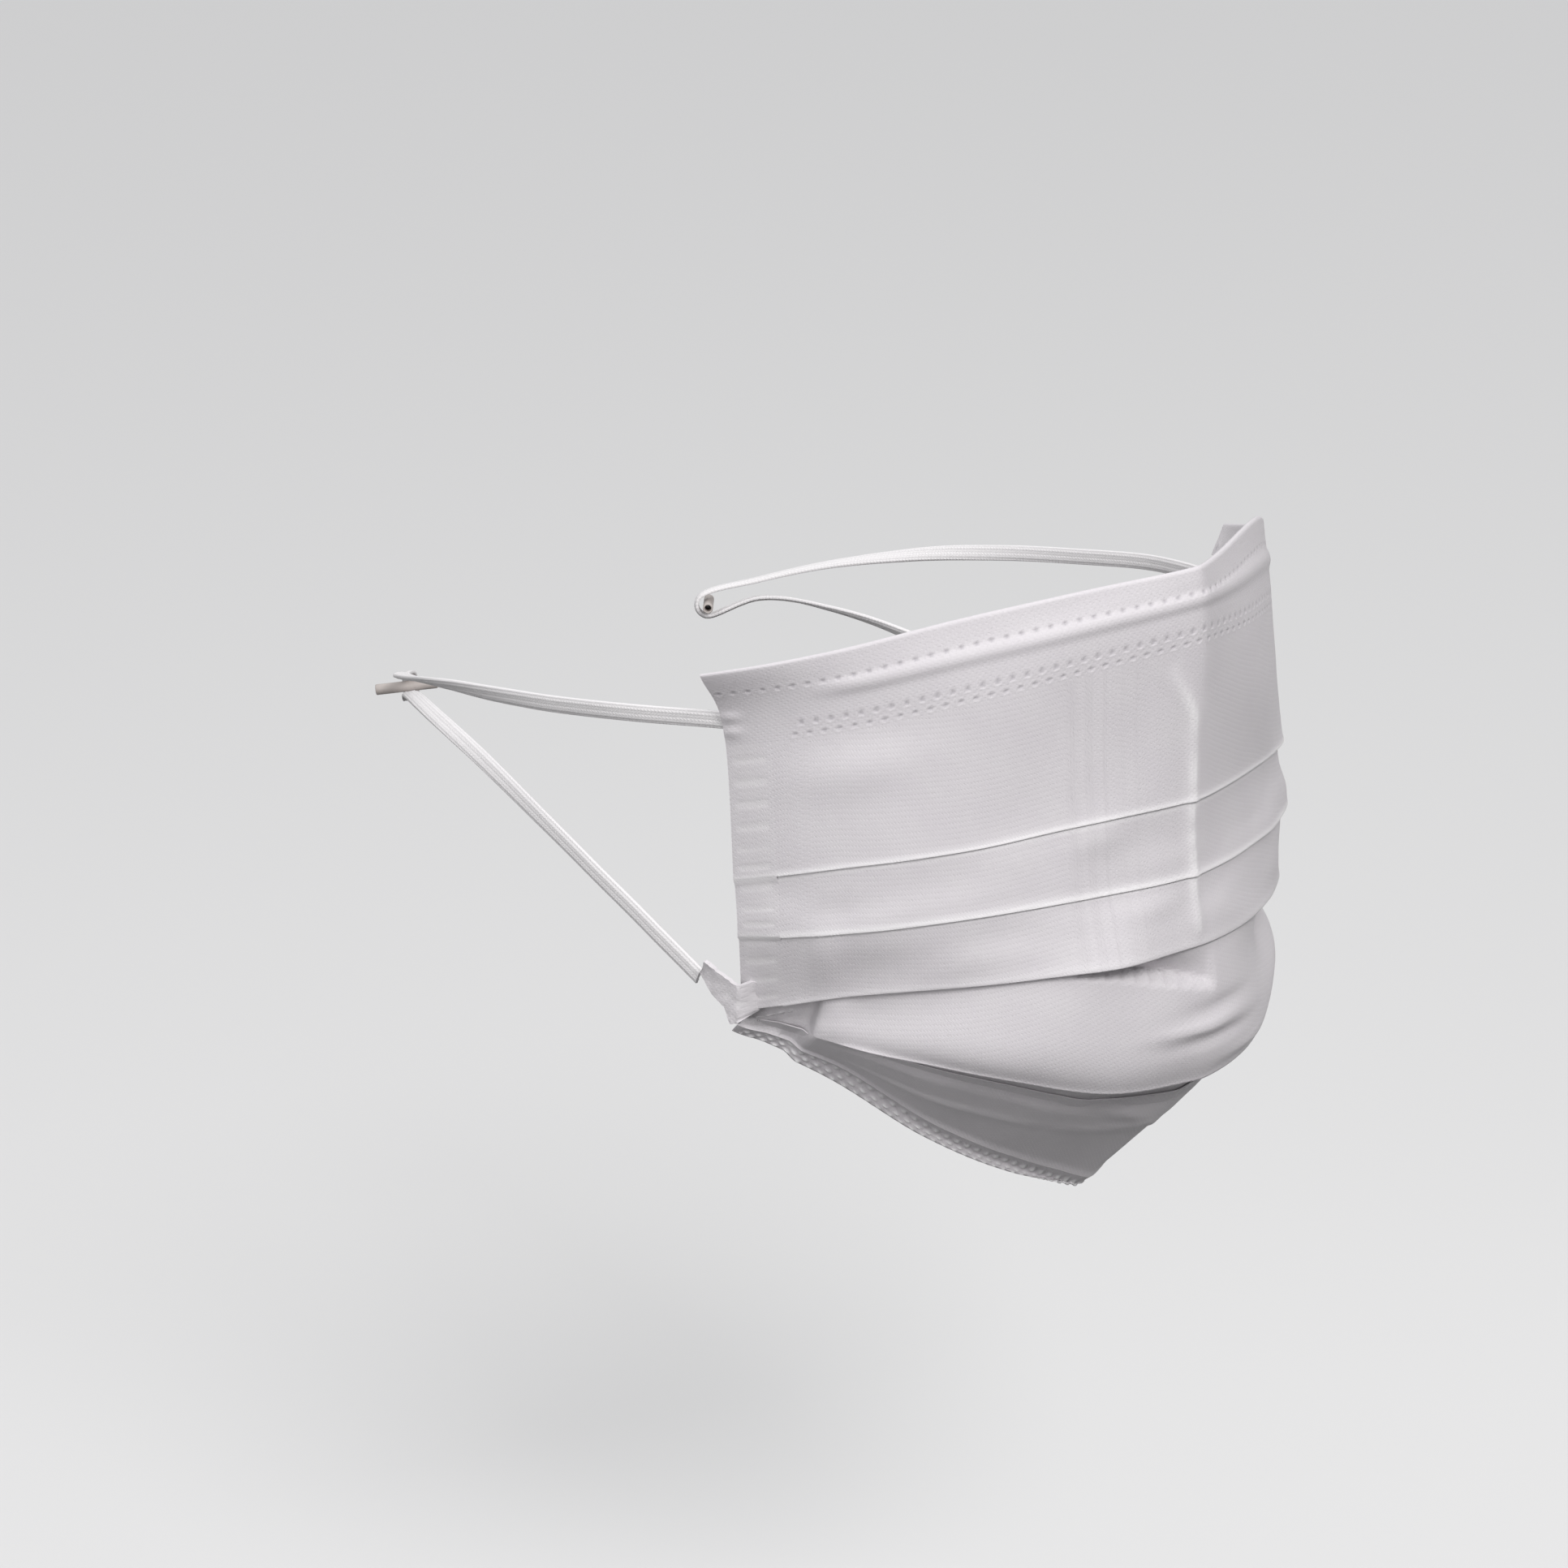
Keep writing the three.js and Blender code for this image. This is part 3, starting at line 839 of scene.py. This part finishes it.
def bandRows():
    def outer(below):
        def rowAt(across):
            gap = gapAt(bandEdge, across)
            if below <= gap:
                level = below / gap
            else:
                level = bandEdge + (below - gap) / gapAt(firstPleat, across)
            return level, stripOut(level, across)
        return rowAt

    def fromBandEdge(below):
        def rowAt(across):
            gap = gapAt(firstPleat, across) if below > 0 else gapAt(bandEdge, across)
            level = bandEdge + below / gap
            return level, stripOut(level, across) + (
                flapOut(firstPleat, level - bandEdge, across) if below > 0 else 0)
        return rowAt
    radius = noseBand["edgeRadius"]
    overEdge, underTop = noseBand["overEdge"], noseBand["underTop"]
    rows = [fromBandEdge(sheet["bandTail"])]
    for below in spread(3.05, -overEdge, 14):
        rows.append(fromBandEdge(below))
    for share in spread(0, 1, 11)[1:-1]:
        def middle(across, share=share):
            low = 1 - overEdge / gapAt(bandEdge, across)
            high = underTop / gapAt(bandEdge, across)
            level = low + (high - low) * share
            return level, stripOut(level, across)
        rows.append(middle)
    for below in spread(underTop, 4.6, 6) + spread(4.0, 1.0, 6) + [0.6]:
        rows.append(outer(below))
    for sine, cosine in arc(20, 55, 90, 125, 160):
        rows.append(lambda across, sine=sine, cosine=cosine: (
            radius * (1 - sine) / gapAt(bandEdge, across), radius * (cosine - 1)))
    for below in spread(0.8, noseBand["foldedIn"], 8):
        rows.append(lambda across, below=below: (
            below / gapAt(bandEdge, across), -2 * radius))
    return rows


def bandColumns():
    return spread(-1, 1, 2 * round(1 / dotPitch * dotColumns) + 1)


# ---- chin hem

chinHem = {
    "dotRows": [(6.22, 0.0), (6.52, 0.5), (6.82, 0.0)],
    "dotSize": (0.50, 0.34), "dotDepth": -0.28, "puff": -0.05,
    "ridge": 0.55, "ridgeWidth": 0.12,
    "foldedIn": 6, "edgeRadius": 0.45,
    "shorter": 0.81, "end": 0.985,  # than the sheet is wide, and where its dots stop
    "leastGap": 3.0,
}


def hemWeld(level, across):
    depth = mask = 0.0
    if abs(across) > chinHem["end"]:
        return depth, mask
    gap = max(gapAt(bottomEdge, across), chinHem["leastGap"])
    for middle, shift in chinHem["dotRows"]:
        press, share = dotPress(
            nearestDot(across, shift) * chinHem["shorter"], (level - middle) * gap,
            chinHem["dotSize"], chinHem["dotDepth"], chinHem["puff"])
        depth += press
        mask = max(mask, share)
    return depth, mask


def hemRows():
    radius = chinHem["edgeRadius"]

    def outAt(level, across):
        tuck = underOut(1, across) - chinHem["ridge"]
        return tuck + chinHem["ridge"] * hump(level, hemLine, chinHem["ridgeWidth"])
    rows = []
    for below in spread(chinHem["foldedIn"], 0.8, 7):
        rows.append(lambda across, below=below: (
            bottomEdge - below / gapAt(bottomEdge, 0), outAt(bottomEdge, across) - 2 * radius))
    for sine, cosine in arc(160, 125, 90, 55, 20):
        rows.append(lambda across, sine=sine, cosine=cosine: (
            bottomEdge - radius * (1 - sine) / max(gapAt(bottomEdge, across), 2),
            outAt(bottomEdge, across) + radius * (cosine - 1)))
    for level in spread(6.94, hemLine, 18):
        rows.append(lambda across, level=level: (level, outAt(level, across)))
    return rows


# ---- side seams

sideSeam = {
    "thickness": 1.0,
    "dashPitch": 3.45, "dashFrom": 0.912, "dashTo": 0.985, "dashHalf": 0.62, "dashDepth": 0.09,
    "firstDash": 6, "dashSoft": 0.006,
    "cornerFrom": 0.915, "cornerPitch": 1.7, "cornerBelow": 2.0, "cornerDot": (0.45, 0.36),
    "cornerDepth": -0.35,
    "lipFade": 0.7,  # mm below a lip over which the welded layers step down
    "middle": 0.95, "pressed": 0.35, "lipStop": 0.996, "columns": 32,
}


def belowBand(level, across):
    # Millimetres down the side from the band edge
    reached = min(int(level), thirdPleat)
    down = sum(gapAt(fold, across) for fold in range(firstPleat, reached + 1))
    if level < thirdPleat:
        down += (level - reached) * gapAt(reached + 1, across)
    return down


def cornerDots(level, across):
    # The raised weld dots under the end of the third lip
    down = (level - thirdPleat) * gapAt(jawCrease, across)
    away = (abs(across) - sideSeam["cornerFrom"]) * sheetWidth / sideSeam["cornerPitch"]
    if not -0.5 < away < 3.5:
        return 0.0, 0.0
    away = (away - round(away)) * sideSeam["cornerPitch"]
    return dotPress(away, down - sideSeam["cornerBelow"], sideSeam["cornerDot"],
                    sideSeam["cornerDepth"], 0.0)


def seamWeld(level, across):
    if thirdPleat < level < jawCrease:
        return cornerDots(level, across)
    if not bandEdge < level < thirdPleat:
        return 0.0, 0.0
    down = belowBand(level, sideSeam["middle"]) - sideSeam["firstDash"]
    if down < -sideSeam["dashPitch"] / 2:
        return 0.0, 0.0
    away = (down / sideSeam["dashPitch"] - round(down / sideSeam["dashPitch"]))
    away *= sideSeam["dashPitch"] / sideSeam["dashHalf"]
    start, end, soft = sideSeam["dashFrom"], sideSeam["dashTo"], sideSeam["dashSoft"]
    inDash = smoothStep(start - soft, start + soft, abs(across))
    inDash *= 1 - smoothStep(end - soft, end + soft, abs(across))
    uneven = 0.65 + 0.7 * noise.noise(Vector((across * 9, down * 0.3, 7.1)))
    share = inDash * math.exp(-away ** 4) * min(max(uneven, 0.2), 1)
    return sideSeam["dashDepth"] * share, share


def seamRows():
    rows = []
    flaps = [(bandEdge, firstPleat, 76), (firstPleat, secondPleat, 34),
             (secondPleat, thirdPleat, 36)]

    def pressedOut(fold, share, across):
        flatness = smoothStep(sheet["seamInner"], sideSeam["middle"], abs(across))
        return flapOut(fold, share, across) * (1 - sideSeam["pressed"] * flatness)
    for top, fold, count in flaps:
        for step in spread(0, 1, count):
            def rowAt(across, step=step, top=top, fold=fold):
                start = sheet["bandTail"] if fold == firstPleat else sideSeam["lipFade"]
                start /= gapAt(fold, across)
                share = start + (sideSeam["lipStop"] - start) * step
                return top + share, pressedOut(fold, share, across)
            rows.append(rowAt)
    for share in spread(0, 1, 25)[1:]:
        rows.append(at(thirdPleat + share, lambda across, share=share: pouchOut(share, across)))
    for share in spread(0, 1, 7)[1:]:
        rows.append(at(jawCrease + share, lambda across, share=share: underOut(share, across)))
    return rows[::-1]


# ---- ear loops

earLoop = {
    "upperStrand": [
        (66, 66, -19.2), (66.4, 84, -21.7), (64.8, 102, -24.2), (60.6, 121, -27.4),
        (53.6, 138, -31.5), (46, 149.5, -35.3),
    ],
    "lowerStrand": [
        (45, 148, -38.6), (50.5, 134, -39), (54.8, 117, -41.9), (58, 99, -47),
        (60.4, 81, -53), (61.8, 67, -58.2), (62.4, 53.6, -64),
    ],
    "weldedBehind": [(0.95, 0.955), (0.90, 1.0)],  # level and across of its end at the nose band
    "behind": 0.5,
    "width": 3.0, "thickness": 0.8, "curl": 0.25, "wobble": 0.12, "ribs": 4, "ribRise": 0.14,
    "groove": 0.38, "grooveAt": 0.1, "grooveWidth": 0.22, "pressedShare": 0.3,
    "weldLength": 6,        # mm of its upper end, pressed flat behind the nose band
    "length": 0.243,        # metres, stretched round the pin
    "rings": 420, "corners": 28,
    "cheek": (0.95, -0.3, 0.0),  # which way the flat of each end faces
}
pin = {
    "place": (38.6, 156.1, -40.3), "direction": (0.7, 0.7, -0.12),
    "radius": 1.0, "bore": 0.66, "length": 11.5, "inside": 5.2, "rim": 0.12, "gap": 0.3,
}


def onSide(side, place):
    return Vector((side * place[0], place[1], place[2]))


def bendPoints(side):
    axis, centre = onSide(side, pin["direction"]).normalized(), onSide(side, pin["place"])
    pull = (onSide(side, earLoop["upperStrand"][-1]) + onSide(side, earLoop["lowerStrand"][0])) / 2
    pull -= centre
    pull = (pull - axis * pull.dot(axis)).normalized()
    upward = axis.cross(pull)
    upward *= math.copysign(1, upward.z)
    reach = pin["radius"] + pin["gap"] + 1
    return [centre - pull * reach * cosine + upward * reach * sine
            for sine, cosine in arc(60, 0, -60)]


def loopLine(side, count):
    # Evenly spaced points along the loop's route, each with the share of the way to it
    knots = [clothPoint(level, side * across, -earLoop["thickness"] / 2 - earLoop["behind"])
             for level, across in earLoop["weldedBehind"]]
    knots += [onSide(side, place) for place in earLoop["upperStrand"]]
    knots += bendPoints(side)
    knots += [onSide(side, place) for place in earLoop["lowerStrand"]]
    first, last = 2 * knots[0] - knots[1], 2 * knots[-1] - knots[-2]
    padded, fine = [first] + knots + [last], []
    for index in range(1, len(padded) - 2):
        p0, p1, p2, p3 = padded[index - 1:index + 3]
        d0, d1, d2 = ((b - a).length ** 0.5 for a, b in ((p0, p1), (p1, p2), (p2, p3)))
        leaving = ((p1 - p0) / d0 - (p2 - p0) / (d0 + d1) + (p2 - p1) / d1) * d1
        arriving = ((p2 - p1) / d1 - (p3 - p1) / (d1 + d2) + (p3 - p2) / d2) * d1
        for step in range(40):
            t = step / 40
            fine.append(p1 + leaving * t + (3 * (p2 - p1) - 2 * leaving - arriving) * t ** 2
                        + (2 * (p1 - p2) + leaving + arriving) * t ** 3)
    fine.append(knots[-1])
    lengths = [0.0]
    for a, b in zip(fine, fine[1:]):
        lengths.append(lengths[-1] + (b - a).length)
    line, index = [], 0
    for step in range(count):
        goal = lengths[-1] * step / (count - 1)
        while index < len(fine) - 2 and lengths[index + 1] < goal:
            index += 1
        mix = (goal - lengths[index]) / (lengths[index + 1] - lengths[index])
        line.append(fine[index].lerp(fine[index + 1], min(mix, 1)))
    return line, lengths[-1]


def loopWidths(side, line):
    # Which way the band's width lies: flat on the cheek at its ends, along the pin at the bend
    axis, cheek = onSide(side, pin["direction"]).normalized(), onSide(side, earLoop["cheek"])
    turnAt = max(range(len(line)), key=lambda index: line[index].y)
    widths = [None] * len(line)
    for way in (range(turnAt, -1, -1), range(turnAt + 1, len(line))):
        last = axis
        for index in way:
            ahead = line[min(index + 1, len(line) - 1)] - line[max(index - 1, 0)]
            ahead.normalize()
            atCheek = ahead.cross(cheek).normalized()
            if atCheek.dot(last) < 0:
                atCheek.negate()
            last = atCheek
            share = abs(index - turnAt) / (turnAt if index < turnAt else len(line) - 1 - turnAt)
            width = axis.lerp(atCheek, smoothStep(0.03, 0.75, share))
            width -= ahead * width.dot(ahead)
            widths[index] = (width.normalized(), ahead)
    return widths


def makeLoop(label, side, material):
    count, corners = earLoop["rings"], earLoop["corners"]
    line, length = loopLine(side, count)
    widths = loopWidths(side, line)
    half, thick = earLoop["width"] / 2, earLoop["thickness"] / 2
    bm = bmesh.new()
    bm.loops.layers.uv.new("flat")
    bmesh.ops.create_grid(bm, x_segments=count - 1, y_segments=corners, size=1, calc_uvs=True)
    flat = {}
    for vert in bm.verts:
        ring = round((vert.co.x + 1) / 2 * (count - 1))
        corner = round((vert.co.y + 1) / 2 * corners)
        turn = 2 * math.pi * corner / corners
        width, ahead = widths[ring]
        face = ahead.cross(width)
        share = math.cos(turn)
        edge = math.copysign(abs(share) ** 0.8, share)
        ribbed = 1 + earLoop["ribRise"] * math.cos(2 * math.pi * earLoop["ribs"] * edge / 2)
        groove = 1 - earLoop["groove"] * hump(edge, earLoop["grooveAt"], earLoop["grooveWidth"])
        rise = math.copysign(abs(math.sin(turn)) ** 0.45, math.sin(turn)) * thick * ribbed
        pressed = smoothStep(0, earLoop["weldLength"], ring / count * length)
        kept = earLoop["pressedShare"] + (1 - earLoop["pressedShare"]) * pressed
        rise = rise * groove * kept - 0.45 * thick * (1 - pressed)
        curl = earLoop["curl"] * (edge ** 2 - 0.4)
        wobble = earLoop["wobble"] * noise.noise(Vector((ring * 0.045, side * 4.0, 1.0)))
        vert.co = (line[ring] + width * half * edge + face * (rise + curl + wobble)) * mm
        flat[vert] = (ring / count * length * mm, edge * half * mm)
    layFlat(bm, flat)
    bmesh.ops.remove_doubles(bm, verts=bm.verts, dist=1e-6)
    bmesh.ops.holes_fill(bm, edges=[e for e in bm.edges if e.is_boundary], sides=0)
    bmesh.ops.recalc_face_normals(bm, faces=bm.faces)
    piece = newObject(f"ear_loop_elastic_{label}", bm, material)
    path = [place * mm for place in line[::3]] + [line[-1] * mm]
    return piece, path


# ---- loop tabs and pins

loopTab = {
    "outline": [
        (-6.7, 4.9), (-5.5, -0.5), (-4.1, -2), (-2.5, -2.4), (-1.2, 0.5), (1.4, 2), (3.7, 5.3),
        (2.3, 7.9), (0.3, 6.6), (-3.6, 4.8),
    ],
    "place": (62.7, 48.4, -68), "turn": 8, "thickness": 0.8, "curl": 0.05,
    "cuts": 5, "rough": 0.18, "standOff": 0.35, "wave": 0.15,
    "dents": [(0.25, -4.2, 1.4), (0.2, -2.2, 2.9)], "dentSize": 0.7,  # deep, along and up
    "seamLevels": (3.2, 4), "seamAcross": (0.92, 1),  # its front is tucked under this much of it
    "tucked": (-4.4, -5.2), "tuckGap": 0.25,
}


def makeTab(label, side, material):
    turn = math.radians(loopTab["turn"])
    along = Vector((side * math.sin(turn), math.cos(turn), 0))
    upward, outward = Vector((0, 0, 1)), Vector((side * math.cos(turn), -math.sin(turn), 0))
    bm = bmesh.new()
    bm.loops.layers.uv.new("flat")
    bm.verts.layers.float.new("weld")
    corners = [bm.verts.new((x, y, 0)) for x, y in loopTab["outline"]]
    bm.faces.new(corners)
    bmesh.ops.triangulate(bm, faces=bm.faces)
    bmesh.ops.subdivide_edges(bm, edges=bm.edges, cuts=loopTab["cuts"], use_grid_fill=True)
    flat, pressed = {}, bm.verts.layers.float["weld"]
    edge = [clothPoint(level, side * across, 0) * mm
            for level in spread(*loopTab["seamLevels"], 12)
            for across in spread(*loopTab["seamAcross"], 12)]
    for vert in bm.verts:
        x, y, _ = vert.co
        rough = noise.noise_vector(Vector((x * 1.7, y * 1.7, side * 3))) * loopTab["rough"]
        if not vert.is_boundary:
            rough *= 0.3
        lift = loopTab["curl"] * max(y - 4, 0) ** 2
        lift += loopTab["wave"] * noise.noise(Vector((x, y, 5)))
        size = loopTab["dentSize"]
        dent = sum(deep * hump(x, atX, size) * hump(y, atY, size)
                   for deep, atX, atY in loopTab["dents"])
        vert[pressed] = min(dent * 4, 1)
        flat[vert] = (x * mm, y * mm)
        vert.co = (onSide(side, loopTab["place"]) + along * (x + rough.x) + upward * (y + rough.y)
                   + outward * (loopTab["standOff"] + lift - dent)) * mm
        near = min(edge, key=lambda place: (place - vert.co).length_squared)
        above = (vert.co - near).dot(outward) + loopTab["tuckGap"] * mm
        vert.co -= outward * max(above, 0) * smoothStep(*loopTab["tucked"], x)
    layFlat(bm, flat)
    bm.normal_update()
    if sum((face.normal.dot(outward) for face in bm.faces), 0.0) < 0:
        bmesh.ops.reverse_faces(bm, faces=bm.faces)
    return solidSheet(newObject(f"loop_tab_torn_{label}", bm, material), loopTab["thickness"])


def makePin(label, side, material):
    radius, bore, rim = pin["radius"], pin["bore"], pin["rim"]
    low, high = -pin["inside"], pin["length"] - pin["inside"]
    profile = [(bore, low + rim), (bore + rim, low), (radius - rim, low), (radius, low + rim)]
    profile += [(radius, height) for height in spread(low + 1, high - 1, 6)]
    profile += [(radius, high - rim), (radius - rim, high), (bore + rim, high), (bore, high - rim)]
    bm = bmesh.new()
    ring = [bm.verts.new((x * mm, 0, z * mm)) for x, z in profile]
    for a, b in zip(ring, ring[1:] + ring[:1]):
        bm.edges.new((a, b))
    bmesh.ops.spin(bm, geom=bm.verts[:] + bm.edges[:], cent=(0, 0, 0), axis=(0, 0, 1),
                   angle=2 * math.pi, steps=40, use_merge=True)
    bmesh.ops.remove_doubles(bm, verts=bm.verts, dist=1e-7)
    bmesh.ops.recalc_face_normals(bm, faces=bm.faces)
    turn = onSide(side, pin["direction"]).normalized().to_track_quat("Z", "Y").to_matrix().to_4x4()
    bmesh.ops.transform(bm, verts=bm.verts, matrix=Matrix.Translation(
        onSide(side, pin["place"]) * mm) @ turn)
    for face in bm.faces:
        face.smooth = True
    return newObject(f"loop_pin_tube_{label}", bm, material)


# ---- put together

makeCamera()
makeStudio()
print("camera and studio ready")

web = bondedWeb()
nonwoven = webMaterial("nonwoven", web)
hemWeb = webMaterial("hem web", web)
weldedWeb = webMaterial("welded web", web)
elastic = elasticMaterial(web)
pinPlastic = pinMaterial()
print("materials ready")


def finishPiece(piece, node):
    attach(piece, "root")
    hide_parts(node)
    return piece


for label, side in sides.items():
    piece, path = makeLoop(label, side, elastic)
    finishPiece(piece, f"ear_loop_{label}")
    finishPiece(makeTab(label, side, weldedWeb), f"loop_tab_{label}")
    finishPiece(makePin(label, side, pinPlastic), f"loop_pin_{label}")
print("ear loops, tabs and pins ready")

inner = sheet["seamInner"]
panelColumns = spread(-inner, inner, 181)
panel = clothPiece("mask_panel_cloth", panelColumns, panelRows(), noWeld, nonwoven)
finishPiece(panel, "mask_panel")
print("pleated panel ready")

band = clothPiece("nose_band_cloth", bandColumns(), bandRows(), bandWeld, nonwoven)
finishPiece(band, "nose_band")
hem = clothPiece("chin_hem_cloth", bandColumns(), hemRows(), hemWeld, hemWeb)
finishPiece(hem, "chin_hem")
print("nose band and chin hem ready")

for label, side in sides.items():
    columns = spread(*sorted((side * inner, side)), sideSeam["columns"])
    seam = clothPiece(f"side_seam_cloth_{label}", columns, seamRows(), seamWeld, weldedWeb,
                      sideSeam["thickness"])
    finishPiece(seam, f"side_seam_{label}")
print("side seams ready")
